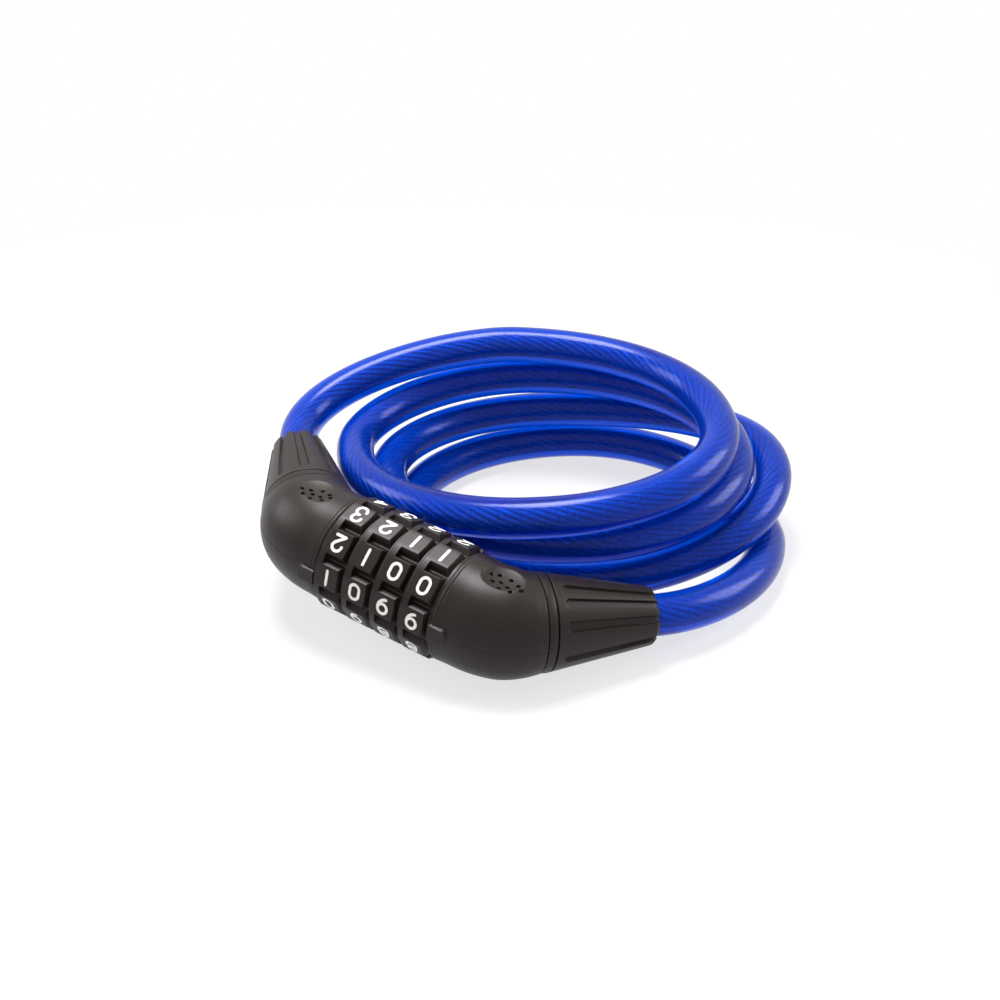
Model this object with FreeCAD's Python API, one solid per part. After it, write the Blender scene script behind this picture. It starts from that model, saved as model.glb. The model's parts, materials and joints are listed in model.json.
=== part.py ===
import FreeCAD, Part
import math
import os

from FreeCAD import Placement, Rotation, Vector

os.makedirs("parts", exist_ok=True)

# A combination cable lock, closed, with its cable coiled as it is carried.
# All sizes are in millimetres and degrees. The head is drawn with its dial axis on X,
# the barrel end towards +X and the coil on its +Y side, and is then tilted.

# Number dials. Each has ten flats, and grooves between them that start behind the left rim
dial_count = 4
digit_count = 10
dial_pitch = 9.5
dial_gap = 0.35
dial_body_radius = 15.0
flat_rise = 1.7
rim_rise = 2.0
rim_width = 2.0
rim_bevel = 0.3
dial_slope = 0.9
collar_radius = 15.2
collar_width = 0.85
groove_floor_width = 1.1
groove_mouth_width = 3.6
index_angle = 8.0
shown_code = "1099"

# Digits, as strokes printed on the flats
digit_height = 5.3
digit_width = 3.5
digit_stroke = 0.85
digit_depth = 0.08
digit_place = 4.2

# Code rings inside the dials
tumbler_radius = 11.2
chamber_radius = 9.8
flange_width = 3.2
gate_width = 3.2
notch_radius = 1.08

# Barrel and bolt
barrel_radius = 7.5
barrel_bore = 3.6
barrel_socket_depth = 11.0
end_ring_wall = 1.7
end_ring_width = 1.5
end_ring_gap = 0.3
tooth_radius = 9.3
tooth_width = 2.6
tooth_length = 2.4
bolt_root_length = 12.0
bolt_tip_margin = 1.2
bolt_tip_bevel = 0.6
running_gap = 0.05
seat_gap = 0.05
face_gap = 0.35
pin_radius = 1.25
pin_length = 18.0
pin_depth = 6.6

# Detents, a ball and spring for each dial
ball_radius = 1.0
ball_stand = 0.33
detent_hole_depth = 3.3
detent_wire = 0.15
detent_turns = 4
detent_gap = 0.05

# End shells. Their centre line runs straight from the dial block's face, bends, and runs straight
bend_angle = 45.5
bend_radius = 17.0
bend_start = 5.6
shell_straight = 2.9
# Share of the way from the dial block's face to the sleeve's band, and radius there
shell_profile = [(0.0, 15.7), (0.03, 16.1), (0.2, 15.85), (0.43, 15.75), (0.66, 15.6),
                 (0.88, 14.65), (1.0, 14.15)]
collar_ring_width = 3.0
collar_ring_radius = 13.95
sleeve_length = 31.0
sleeve_root_radius = 13.8
sleeve_mouth_radius = 8.2
mouth_bevel = 0.7
spigot_radius = 9.0
spigot_length = 3.5
flute_count = 8
flute_width = 2.9
flute_depth = 0.8
flute_start = 4.0
# Shallow oval hollow on top: the flattened ball that cuts it, how deep, and where along the head
dimple_length = 14.2
dimple_width = 13.6
dimple_dome = 1.6
dimple_depth = 1.2
dimple_place = 12.7
# Raised tongue beside the dials, and its angle up from the front at each end
mark_length = 5.8
mark_width = 5.0
mark_stand = 0.7
mark_root = 2.0
mark_corner = 1.8
mark_angles = {1: 4.5, -1: -1.0}

# Cable
cable_diameter = 12.0
rope_diameter = 6.0
rope_gap = 0.05
rope_overrun = 1.0
cable_gap = 0.1
jacket_insert = 14.0
ferrule_length = 11.0
ferrule_wall = 1.3
ferrule_gap = 0.3

# Posture of the head and the coil, as the photograph shows them
head_tilt = 8.2
coil_turn = 31.5
# Each turn's furthest reach on its four sides, from the head's middle, in the coil's own axes
back_reach = [106.6, 109.4, 109.8, 111.5]
right_reach = [94.1, 100.6, 113.7, 110.5]
front_reach = [9.6, 14.7, 17.3]
left_reach = [-19.4, -9.0, -2.8]
# How far along that side each furthest point lies
back_middle = [33.8, 36.6, 43.6, 55.1]
right_middle = [52.1, 57.8, 62.1, 46.7]
front_middle = [45.5, 54.6, 59.9]
left_middle = [67.8, 65.3, 62.1]
# Height of the cable's middle over the floor at the same places
back_height = [45.0, 32.1, 18.9, 6.1]
right_height = [41.4, 29.8, 22.8, 6.05]
front_height = [34.6, 22.9, 8.8]
left_height = [26.7, 18.6, 6.5]
# Length of a quarter turn over its chord, for the slope of each turn
arc_over_chord = 1.11
# How stiffly the cable holds its heading at each end of its first and its last free bend
tail_handles = (0.44, 0.31)
end_handles = (0.35, 0.31)
floor_clearance = 0.06

# How far a cutting shape runs past the face that it opens, and a joined one past its root
overrun = 1.0

dial_width = dial_pitch - dial_gap
rim_radius = dial_body_radius + rim_rise
flat_apothem = dial_body_radius + flat_rise
end_ring_radius = barrel_radius + end_ring_wall
block_half = dial_count * dial_pitch / 2
cable_radius = cable_diameter / 2
rope_radius = rope_diameter / 2
step_angle = 360.0 / digit_count
X_AXIS = Vector(1, 0, 0)
Z_AXIS = Vector(0, 0, 1)


def dial_middle(number):
    return (number - (dial_count - 1) / 2) * dial_pitch


def around_axis(shape, angle):
    """Turn a shape drawn at the front of the head up round the dial axis."""
    turned = shape.copy()
    turned.rotate(Vector(0, 0, 0), X_AXIS, -angle)
    return turned


def revolved(points):
    """A ring about the dial axis from (along, radius) points."""
    corners = [Vector(along, 0, radius) for along, radius in points]
    face = Part.Face(Part.makePolygon(corners + corners[:1]))
    return face.revolve(Vector(0, 0, 0), X_AXIS, 360)


def along_x(radius, start, end):
    return Part.makeCylinder(radius, end - start, Vector(start, 0, 0), X_AXIS)


def front_box(start, end, width, low, high):
    """A box at the head's front, between two distances from the dial axis."""
    return Part.makeBox(end - start, high - low, width, Vector(start, -high, -width / 2))


# Dials
def dial_left(number):
    return dial_middle(number) - dial_width / 2


def make_dial(number):
    left = dial_left(number)
    right = left + dial_width
    collar_start = right - collar_width
    bore = tumbler_radius + seat_gap
    ring = revolved([
        (left, bore), (left, rim_radius - rim_bevel), (left + rim_bevel, rim_radius),
        (collar_start - dial_slope, rim_radius), (collar_start, collar_radius),
        (right, collar_radius), (right, bore)])
    ring = ring.common(make_flats(left, dial_width))
    grooves = [around_axis(make_groove(left + rim_width, collar_start),
                           index_angle + step_angle * (place + 0.5)) for place in range(digit_count)]
    return ring.cut(grooves)


def make_flats(start, length):
    """A prism with one flat side for each digit."""
    corner = flat_apothem / math.cos(math.radians(step_angle / 2))
    corners = []
    for place in range(digit_count):
        angle = math.radians(index_angle + step_angle * (place + 0.5))
        corners.append(Vector(start, -corner * math.cos(angle), corner * math.sin(angle)))
    return Part.Face(Part.makePolygon(corners + corners[:1])).extrude(Vector(length, 0, 0))


def make_groove(start, end):
    """The space between two flats, with sloping walls."""
    mouth, foot = groove_mouth_width / 2, groove_floor_width / 2
    top = rim_radius + overrun
    spread = foot + (mouth - foot) * (top - dial_body_radius) / (rim_radius - dial_body_radius)
    outline = [Vector(start, -dial_body_radius, -foot), Vector(start, -top, -spread),
               Vector(start, -top, spread), Vector(start, -dial_body_radius, foot)]
    return Part.Face(Part.makePolygon(outline + outline[:1])).extrude(Vector(end - start, 0, 0))


# Digits: each is drawn in a box of unit height and the digit's width, by strokes
def glyph_strokes(value):
    w = digit_width / digit_height / 2
    bowl = w
    low, high = -0.5 + bowl, 0.5 - bowl
    hook = 0.86 * bowl
    if value == 0:
        return [("oval", w)]
    if value == 1:
        return [("line", [(0, -0.5), (0, 0.5)])]
    if value == 2:
        return [("arc", (-w, high - 0.02), (0, 0.5), (w, high)),
                ("line", [(w, high), (w * 0.8, high - 0.16), (-w, -0.5), (w, -0.5)])]
    if value == 3:
        return [("arc", (-w, 0.30), (hook, 0.26), (-0.02, 0.02)),
                ("arc", (-0.02, 0.02), (w, -0.24), (-w, -0.32))]
    if value == 4:
        return [("line", [(w * 0.45, -0.5), (w * 0.45, 0.5), (-w, -0.18), (w, -0.18)])]
    if value == 5:
        return [("line", [(w, 0.5), (-w * 0.8, 0.5), (-w * 0.9, 0.06)]),
                ("arc", (-w * 0.9, 0.06), (w, -0.18), (-w, -0.36))]
    if value == 6:
        return [("circle", (0, low), bowl), ("arc", (-w, low), (-w * 0.72, 0.24), (w * 0.5, 0.5))]
    if value == 7:
        return [("line", [(-w, 0.5), (w, 0.5), (-w * 0.35, -0.5)])]
    if value == 8:
        return [("circle", (0, -0.5 + bowl), bowl), ("circle", (0, 0.5 - hook), hook)]
    return [("circle", (0, high), bowl), ("arc", (w, high), (w * 0.72, -0.24), (-w * 0.5, -0.5))]


def stroke_solid(first, last):
    """A round-ended bar between two points of the pad's face."""
    half = digit_stroke / 2
    bar = Part.makeCylinder(half, digit_depth, first)
    bar = bar.fuse(Part.makeCylinder(half, digit_depth, last))
    run = last - first
    side = Z_AXIS.cross(run).normalize() * half
    corners = [first + side, first - side, last - side, last + side]
    face = Part.Face(Part.makePolygon(corners + corners[:1]))
    return bar.fuse(face.extrude(Vector(0, 0, digit_depth)))


def ring_solid(centre, radius):
    outer = Part.makeCylinder(radius, digit_depth, centre)
    return outer.cut(Part.makeCylinder(radius - digit_stroke, digit_depth, centre))


def arc_solid(first, middle, last):
    """A bent bar of the stroke's width along an arc through three points."""
    half = digit_stroke / 2
    circle = Part.Arc(first, middle, last).toShape().Curve
    outer = [circle.Center + (p - circle.Center) * (1 + half / circle.Radius)
             for p in (first, middle, last)]
    inner = [circle.Center + (p - circle.Center) * (1 - half / circle.Radius)
             for p in (first, middle, last)]
    edges = [Part.Arc(*outer).toShape(), Part.LineSegment(outer[2], inner[2]).toShape(),
             Part.Arc(*inner).toShape(), Part.LineSegment(inner[0], outer[0]).toShape()]
    bar = Part.Face(Part.Wire(Part.__sortEdges__(edges))).extrude(Vector(0, 0, digit_depth))
    caps = [Part.makeCylinder(half, digit_depth, end) for end in (first, last)]
    return bar.fuse(caps)


def make_glyph(value):
    """A digit lying on the XY plane, its foot towards -Y."""
    tall = digit_height - digit_stroke

    def spot(point):
        return Vector(point[0] * tall, point[1] * tall, 0)

    pieces = []
    for kind, *data in glyph_strokes(value):
        if kind == "line":
            points = [spot(p) for p in data[0]]
            pieces += [stroke_solid(a, b) for a, b in zip(points, points[1:])]
        elif kind == "circle":
            pieces.append(ring_solid(spot(data[0]), data[1] * tall + digit_stroke / 2))
        elif kind == "arc":
            pieces.append(arc_solid(spot(data[0]), spot(data[1]), spot(data[2])))
        else:
            reach = data[0] * tall
            rise = tall / 2 - reach
            for side in (-1, 1):
                pieces.append(stroke_solid(Vector(side * reach, -rise, 0), Vector(side * reach, rise, 0)))
                pieces.append(arc_solid(Vector(-reach, side * rise, 0), Vector(0, side * tall / 2, 0),
                                        Vector(reach, side * rise, 0)))
    whole = pieces[0] if len(pieces) == 1 else pieces[0].fuse(pieces[1:])
    return whole.removeSplitter()


def make_digits(number, glyphs):
    """The ten printed numbers of one dial, read from behind the head."""
    seat = Placement(Vector(dial_left(number) + digit_place, -flat_apothem, 0),
                     Rotation(Vector(-1, 0, 0), Vector(0, 0, -1), Vector(0, -1, 0), "ZXY"))
    shown = int(shown_code[number % len(shown_code)])
    solids = []
    for place in range(digit_count):
        value = (shown + place) % 10
        glyph = glyphs[value].copy()
        glyph.Placement = seat.multiply(glyph.Placement)
        solids.append(around_axis(glyph, index_angle + step_angle * place))
    return Part.makeCompound(solids)


# Code rings
def flange_middle(number):
    return dial_left(number) + flange_width / 2


def make_tumbler(number):
    left = dial_left(number)
    right = left + dial_width
    bore = barrel_radius + running_gap
    flange_end = left + flange_width
    ring = revolved([(left, bore), (left, tumbler_radius), (right, tumbler_radius),
                     (right, chamber_radius), (flange_end, chamber_radius), (flange_end, bore)])
    gate = front_box(left - overrun, flange_end + overrun, gate_width, 0, chamber_radius)
    ring = ring.cut(around_axis(gate, index_angle))
    ball_height = barrel_radius + ball_stand - ball_radius
    notches = []
    for place in range(1, digit_count):
        notch = along_x(notch_radius, left - overrun, flange_end + overrun)
        notch.translate(Vector(0, -ball_height, 0))
        notches.append(around_axis(notch, index_angle + step_angle * place))
    return ring.cut(notches)


# Barrel, on which the dials turn, with a slot for the bolt's teeth
def detent_angle():
    return index_angle + 180


def make_barrel():
    left = -block_half - face_gap - end_ring_width
    right = block_half + barrel_socket_depth
    barrel = along_x(barrel_radius, left, right)
    barrel = barrel.cut(along_x(barrel_bore, left, block_half + bolt_tip_margin))
    slot_end = block_half - dial_gap
    slot = front_box(left, slot_end, gate_width, 0, barrel_radius + overrun)
    barrel = barrel.cut(around_axis(slot, index_angle))
    for number in range(dial_count):
        barrel = barrel.cut(detent_hole(number))
    return barrel.cut(cross_pin(1, seat_gap))


def detent_hole(number):
    hole = Part.makeCylinder(ball_radius + running_gap, detent_hole_depth + overrun,
                             Vector(flange_middle(number), detent_hole_depth - barrel_radius, 0),
                             Vector(0, -1, 0))
    return around_axis(hole, detent_angle())


def make_ball(number):
    ball = Part.makeSphere(ball_radius, Vector(
        flange_middle(number), ball_radius - ball_stand - barrel_radius, 0))
    return around_axis(ball, detent_angle())


def make_detent_spring(number):
    """A small coil spring between the ball and the bottom of its hole."""
    room = detent_hole_depth + ball_stand - 2 * ball_radius - 2 * detent_gap
    rise = room - 2 * detent_wire
    mean_radius = ball_radius - detent_wire - 2 * detent_gap
    path = Part.makeHelix(rise / detent_turns, rise, mean_radius)
    start = Part.Wire(Part.Circle(Vector(mean_radius, 0, 0), Vector(0, 1, 0), detent_wire).toShape())
    spring = Part.Wire(path).makePipeShell([start], True, True)
    spring.rotate(Vector(0, 0, 0), X_AXIS, 90)
    spring.translate(Vector(flange_middle(number),
                            detent_hole_depth - barrel_radius - detent_wire - detent_gap, 0))
    return around_axis(spring, detent_angle())


def make_end_ring():
    left = -block_half - face_gap - end_ring_width
    ring = revolved([(left, barrel_radius), (left, end_ring_radius),
                     (left + end_ring_width, end_ring_radius), (left + end_ring_width, barrel_radius)])
    slot = front_box(left - overrun, left + end_ring_width + overrun, gate_width, 0,
                     end_ring_radius + overrun)
    return ring.cut(around_axis(slot, index_angle))


# Bolt of the plug end, with one tooth for each dial
def make_bolt():
    radius = barrel_bore - running_gap
    bevel_start = block_half - bolt_tip_bevel
    bolt = along_x(radius, -block_half - bolt_root_length, bevel_start)
    bolt = bolt.fuse(Part.makeCone(radius, radius - bolt_tip_bevel, bolt_tip_bevel,
                                   Vector(bevel_start, 0, 0), X_AXIS))
    for number in range(dial_count):
        room_start = dial_left(number) + flange_width
        room_end = dial_left(number) + dial_width
        middle = (room_start + room_end) / 2
        tooth = front_box(middle - tooth_length / 2, middle + tooth_length / 2,
                          tooth_width, 0, tooth_radius)
        bolt = bolt.fuse(around_axis(tooth, index_angle))
    return bolt.removeSplitter().cut(cross_pin(-1, seat_gap))


def cross_pin(side, gap=0.0):
    """The anchor pin of one end shell, across the head's axis; side is +1 on the barrel's end."""
    middle = side * (block_half + pin_depth)
    return Part.makeCylinder(pin_radius + gap, pin_length, Vector(middle, -pin_length / 2, 0),
                             Vector(0, 1, 0))


# End shells, drawn on the barrel's side and mirrored for the plug's
def centre_line(distance):
    """Place and heading angle of the head's bent centre line, from the dial block's face."""
    bend = math.radians(bend_angle)
    arc_length = bend_radius * bend
    start = block_half + bend_start
    if distance < bend_start:
        return Vector(block_half + distance, 0, 0), 0.0
    turn = min((distance - bend_start) / bend_radius, bend)
    rest = max(distance - bend_start - arc_length, 0)
    place = Vector(start + bend_radius * math.sin(turn) + rest * math.cos(turn),
                   bend_radius * (1 - math.cos(turn)) + rest * math.sin(turn), 0)
    return place, math.degrees(turn)


def station_frame(distance):
    """Placement whose X runs along the centre line."""
    place, heading = centre_line(distance)
    return Placement(place, Rotation(Z_AXIS, heading))


def end_frame(distance):
    """The same on the straight line past the bend, also carried back before the bend's end."""
    ahead = Placement(Vector(distance - shell_length, 0, 0), Rotation())
    return station_frame(shell_length).multiply(ahead)


def station_circle(distance, radius):
    circle = Part.Wire(Part.Circle(Vector(0, 0, 0), X_AXIS, radius).toShape())
    circle.Placement = station_frame(distance).multiply(circle.Placement)
    return circle


shell_length = bend_start + bend_radius * math.radians(bend_angle) + shell_straight
sleeve_start = shell_length + collar_ring_width
mouth_distance = sleeve_start + sleeve_length


def tube_at(distance, length, radius):
    """A rod along the centre line's straight end."""
    rod = Part.makeCylinder(radius, length, Vector(0, 0, 0), X_AXIS)
    rod.Placement = end_frame(distance).multiply(rod.Placement)
    return rod


def shell_radius(distance):
    share = distance / shell_length
    for (near, near_radius), (far, far_radius) in zip(shell_profile, shell_profile[1:]):
        if near <= share <= far:
            return near_radius + (far_radius - near_radius) * (share - near) / (far - near)
    return shell_profile[-1][1]


def make_shell(side):
    """One bulb-shaped end shell: side is +1 for the barrel's end and -1 for the plug's."""
    circles = [station_circle(share * shell_length, radius) for share, radius in shell_profile]
    shell = Part.makeLoft(circles, True, False)
    shell = shell.fuse(make_mark(mark_angles[side]))
    shell = shell.cut(tube_at(shell_length - spigot_length - seat_gap, spigot_length + overrun,
                              spigot_radius + seat_gap))
    shell = shell.cut(make_dimple())
    if side < 0:
        shell = shell.mirror(Vector(0, 0, 0), X_AXIS)
        shell.translate(Vector(-face_gap, 0, 0))
        socket = along_x(barrel_bore - running_gap + seat_gap,
                         -block_half - bolt_root_length - seat_gap, -block_half)
        recess = along_x(end_ring_radius + end_ring_gap,
                         -block_half - face_gap - end_ring_width - end_ring_gap, -block_half)
        shell = shell.cut([socket, recess])
    else:
        socket = along_x(barrel_radius + seat_gap, block_half - overrun,
                         block_half + barrel_socket_depth + seat_gap)
        shell = shell.cut(socket)
    return shell.cut(cross_pin(side, seat_gap))


def make_mark(angle):
    """The raised tongue beside the code row, with its far corners rounded."""
    radius = shell_radius(mark_length / 2)
    half, turn, deep = mark_width / 2, mark_corner, radius - mark_root
    slant = turn * (1 - math.sqrt(0.5))

    def spot(along, across):
        return Vector(block_half + along, -deep, across)

    edges = []
    for side in (1, -1):
        corner = [spot(mark_length - turn, side * half), spot(mark_length - slant, side * (half - slant)),
                  spot(mark_length, side * (half - turn))]
        edges += [Part.LineSegment(spot(0, side * half), corner[0]).toShape(), Part.Arc(*corner).toShape()]
    edges.append(Part.LineSegment(spot(0, half), spot(0, -half)).toShape())
    edges.append(Part.LineSegment(spot(mark_length, half - turn), spot(mark_length, turn - half)).toShape())
    tongue = Part.Face(Part.Wire(Part.__sortEdges__(edges)))
    return around_axis(tongue.extrude(Vector(0, deep - radius - mark_stand, 0)), angle)


def make_dimple():
    """A shallow oval hollow on top of the shell, in line with the dial axis."""
    hollow = Part.makeSphere(dimple_length / 2)
    matrix = FreeCAD.Matrix()
    matrix.scale(1.0, dimple_width / dimple_length, dimple_dome / (dimple_length / 2))
    hollow = hollow.transformGeometry(matrix)
    height = shell_radius(dimple_place) + dimple_dome - dimple_depth
    hollow.translate(Vector(block_half + dimple_place, 0, height))
    return hollow


def make_collar(side):
    ring = tube_at(shell_length, collar_ring_width, collar_ring_radius)
    ring = ring.cut(tube_at(shell_length, collar_ring_width, spigot_radius + seat_gap))
    return to_side(ring, side)


def make_sleeve(side):
    cone = Part.makeCone(sleeve_root_radius, sleeve_mouth_radius, sleeve_length, Vector(0, 0, 0), X_AXIS)
    rim = Part.makeCone(sleeve_mouth_radius, sleeve_mouth_radius - mouth_bevel, mouth_bevel,
                        Vector(sleeve_length - mouth_bevel, 0, 0), X_AXIS)
    cone = cone.common(along_x(sleeve_root_radius, 0, sleeve_length - mouth_bevel)).fuse(rim)
    slope = math.degrees(math.atan((sleeve_root_radius - sleeve_mouth_radius) / sleeve_length))
    for place in range(flute_count):
        flute = Part.makeBox(sleeve_length, 2 * flute_depth, flute_width,
                             Vector(0, -flute_depth, -flute_width / 2))
        flute = flute.fuse(Part.makeCylinder(flute_width / 2, 2 * flute_depth,
                                             Vector(0, -flute_depth, 0), Vector(0, 1, 0)))
        flute.rotate(Vector(0, 0, 0), Z_AXIS, slope)
        flute.translate(Vector(flute_start, flute_start * math.tan(math.radians(slope))
                               - sleeve_root_radius, 0))
        flute.rotate(Vector(0, 0, 0), X_AXIS, 360.0 / flute_count * (place + 0.5))
        cone = cone.cut(flute)
    cone.Placement = end_frame(sleeve_start).multiply(cone.Placement)
    spigot = tube_at(shell_length - spigot_length, spigot_length + collar_ring_width + overrun,
                     spigot_radius)
    sleeve = cone.fuse(spigot)
    bore_start = mouth_distance - jacket_insert - cable_gap
    sleeve = sleeve.cut(tube_at(bore_start, jacket_insert + overrun, cable_radius + cable_gap))
    pocket_start = shell_length - spigot_length
    pocket_length = bore_start - pocket_start
    sleeve = sleeve.cut(tube_at(pocket_start, pocket_length, rope_radius + ferrule_wall + cable_gap))
    return to_side(sleeve, side)


def make_ferrule(side):
    start = mouth_distance - jacket_insert - ferrule_length - ferrule_gap
    ring = tube_at(start, ferrule_length, rope_radius + ferrule_wall)
    ring = ring.cut(tube_at(start, ferrule_length, rope_radius + rope_gap))
    return to_side(ring, side)


def to_side(shape, side):
    if side > 0:
        return shape
    moved = shape.mirror(Vector(0, 0, 0), X_AXIS)
    moved.translate(Vector(-face_gap, 0, 0))
    return moved


# Cable, as one route from the plug's sleeve round the coil to the barrel's sleeve
head_frame = Placement(Vector(0, 0, 0), Rotation(Vector(0, 1, 0), head_tilt))


def mouth(side):
    """Where the cable leaves a sleeve, and its heading there, with the head tilted."""
    place, heading = centre_line(mouth_distance)
    ahead = Vector(math.cos(math.radians(heading)), math.sin(math.radians(heading)), 0)
    if side < 0:
        place = Vector(-place.x - face_gap, place.y, 0)
        ahead = Vector(-ahead.x, ahead.y, 0)
    return head_frame.multVec(place), head_frame.Rotation.multVec(ahead)


def coil_nodes(floor):
    """The route's points and headings at each quarter of a turn, in the coil's own axes."""
    count = len(back_reach)
    spots = []
    for turn in range(count):
        spots.append((back_middle[turn], back_reach[turn], back_height[turn], (1, 0)))
        spots.append((right_reach[turn], right_middle[turn], right_height[turn], (0, -1)))
        if turn < count - 1:
            spots.append((front_middle[turn], front_reach[turn], front_height[turn], (-1, 0)))
            spots.append((left_reach[turn], left_middle[turn], left_height[turn], (0, 1)))
    turn_to_row = Rotation(Z_AXIS, coil_turn)
    nodes = []
    for place, (x, y, height, heading) in enumerate(spots):
        before, after = spots[max(place - 1, 0)], spots[min(place + 1, len(spots) - 1)]
        run = math.hypot(after[0] - before[0], after[1] - before[1]) * arc_over_chord
        slope = (after[2] - before[2]) / run
        ahead = Vector(heading[0], heading[1], slope).normalize()
        point = Vector(x, y, height + floor + floor_clearance)
        nodes.append((turn_to_row.multVec(point), turn_to_row.multVec(ahead)))
    return nodes


def biarc(start, start_way, end, end_way):
    """Two arcs from one point and heading to another, smooth where they meet."""
    gap = end - start
    both = start_way + end_way
    spread = 2 * (1 - start_way.dot(end_way))
    reach = (math.sqrt(gap.dot(both) ** 2 + spread * gap.dot(gap)) - gap.dot(both)) / spread
    joint = (start + end + (start_way - end_way) * reach) * 0.5
    return [arc_from(start, start_way, joint), arc_from(end, end_way * -1, joint)]


def arc_from(point, way, target):
    """The arc that leaves a point in a given way and reaches the target."""
    chord = target - point
    normal = way.cross(chord).cross(way).normalize()
    radius = chord.dot(chord) / (2 * normal.dot(chord))
    centre = point + normal * radius
    radii.append(radius)
    middle = (point + target) * 0.5 - centre
    middle = centre + middle.normalize() * radius
    return Part.Arc(point, middle, target)


radii = []


def swept(curves, radius):
    """A tube of one radius along a smooth chain of lines and arcs."""
    edges = [curve.toShape() for curve in curves]
    path = Part.Wire(Part.__sortEdges__(edges))
    way = edges[0].tangentAt(edges[0].FirstParameter)
    ring = Part.Wire(Part.Circle(curves[0].StartPoint, way, radius).toShape())
    return path.makePipeShell([ring], True, False), path.Length


def cable_tube(name, curves, outer, bore):
    solid, length = swept(curves, outer)
    section = math.pi * outer ** 2
    if bore:
        solid = solid.cut(swept(curves, bore)[0])
        section -= math.pi * bore ** 2
    print(f"{name}: length {length:.1f}, volume {solid.Volume:.0f}, section x length "
          f"{section * length:.0f}, solids {len(solid.Solids)}, valid {solid.isValid()}")
    return solid


def free_bend(start, start_way, end, end_way, handles):
    """A smooth point and heading half way along a free quarter of the route."""
    span = (end - start).Length
    a, b, c, d = start, start + start_way * span * handles[0], end - end_way * span * handles[1], end
    point = a * 0.125 + b * 0.375 + c * 0.375 + d * 0.125
    way = ((d - a) + (c - b)).normalize()
    return point, way


def route(floor):
    """The tail's curves, from the plug's sleeve to the first turn's right side, and the coil's."""
    nodes = coil_nodes(floor)
    out_point, out_way = mouth(-1)
    in_point, in_way = mouth(1)
    in_way = in_way * -1
    tail_nodes = [(out_point, out_way), free_bend(out_point, out_way, *nodes[0], tail_handles)] + nodes[:2]
    coil = nodes[1:] + [free_bend(*nodes[-1], in_point, in_way, end_handles), (in_point, in_way)]
    insert = jacket_insert
    tail_curves = [Part.LineSegment(out_point - out_way * insert, out_point)]
    tail_curves += chained(tail_nodes)
    coil_curves = chained(coil) + [Part.LineSegment(in_point, in_point + in_way * insert)]
    return tail_curves, coil_curves


def chained(nodes):
    curves = []
    for (start, start_way), (end, end_way) in zip(nodes, nodes[1:]):
        first, second = biarc(start, start_way, end, end_way)
        second = Part.Arc(second.EndPoint, second.value(
            (second.FirstParameter + second.LastParameter) / 2), second.StartPoint)
        curves += [first, second]
    return curves


def rope_ends(curves, at_start):
    """The rope runs on past the jacket through its ferrule."""
    extra = ferrule_length + rope_overrun
    if at_start:
        line = curves[0]
        way = (line.EndPoint - line.StartPoint).normalize()
        return [Part.LineSegment(line.StartPoint - way * extra, line.EndPoint)] + curves[1:]
    line = curves[-1]
    way = (line.EndPoint - line.StartPoint).normalize()
    return curves[:-1] + [Part.LineSegment(line.StartPoint, line.EndPoint + way * extra)]


def least_self_gap(curves):
    """The least free space between two passes of the coil, measured on points."""
    points = []
    for curve in curves:
        points += curve.discretize(24)[:-1]
    travelled = [0.0]
    for a, b in zip(points, points[1:]):
        travelled.append(travelled[-1] + (b - a).Length)
    least = 1e9
    for i in range(0, len(points)):
        for j in range(i + 1, len(points)):
            if travelled[j] - travelled[i] > 5 * cable_diameter:
                least = min(least, (points[i] - points[j]).Length)
    return least - cable_diameter


head = {}
glyph_set = [make_glyph(value) for value in range(10)]
for number in range(dial_count):
    tag = number + 1
    head[f"dial_{tag}"] = make_dial(number)
    head[f"digits_{tag}"] = make_digits(number, glyph_set)
    head[f"tumbler_{tag}"] = make_tumbler(number)
    head[f"detent_ball_{tag}"] = make_ball(number)
    head[f"detent_spring_{tag}"] = make_detent_spring(number)
head["barrel"] = make_barrel()
head["end_ring"] = make_end_ring()
head["bolt"] = make_bolt()
for side_name, side in (("barrel_end", 1), ("plug_end", -1)):
    head[f"{side_name}_shell"] = make_shell(side)
    head[f"{side_name}_collar"] = make_collar(side)
    head[f"{side_name}_sleeve"] = make_sleeve(side)
    head[f"{side_name}_ferrule"] = make_ferrule(side)
    head[f"{side_name}_pin"] = cross_pin(side)

for shape in head.values():
    shape.Placement = head_frame.multiply(shape.Placement)
head_box = FreeCAD.BoundBox()
for shape in head.values():
    head_box.add(shape.optimalBoundingBox(False, False))
floor = head_box.ZMin

tail_curves, coil_curves = route(floor)
jacket_bore = rope_radius + rope_gap
cable = {
    "tail_jacket": cable_tube("tail_jacket", tail_curves, cable_radius, jacket_bore),
    "tail_rope": cable_tube("tail_rope", rope_ends(tail_curves, True), rope_radius, 0),
    "coil_jacket": cable_tube("coil_jacket", coil_curves, cable_radius, jacket_bore),
    "coil_rope": cable_tube("coil_rope", rope_ends(coil_curves, False), rope_radius, 0)}
print("cable radii", " ".join(f"{radius:.0f}" for radius in radii))
print(f"least gap of the coil to itself {least_self_gap(tail_curves + coil_curves):.2f}")

home = Vector(-head_box.Center.x, -head_box.Center.y, -floor)
for name, shape in {**head, **cable}.items():
    shape.translate(home)
    shape.exportStep(f"parts/{name}.step")
axis = head_frame.Rotation.multVec(X_AXIS)
print("dial axis point", [round(value, 4) for value in home], "axis", [round(value, 7) for value in axis])
for side in (1, -1):
    place, way = mouth(side)
    print("mouth", side, [round(v, 2) for v in place + home], [round(v, 4) for v in way])
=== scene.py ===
import json
import math

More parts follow.
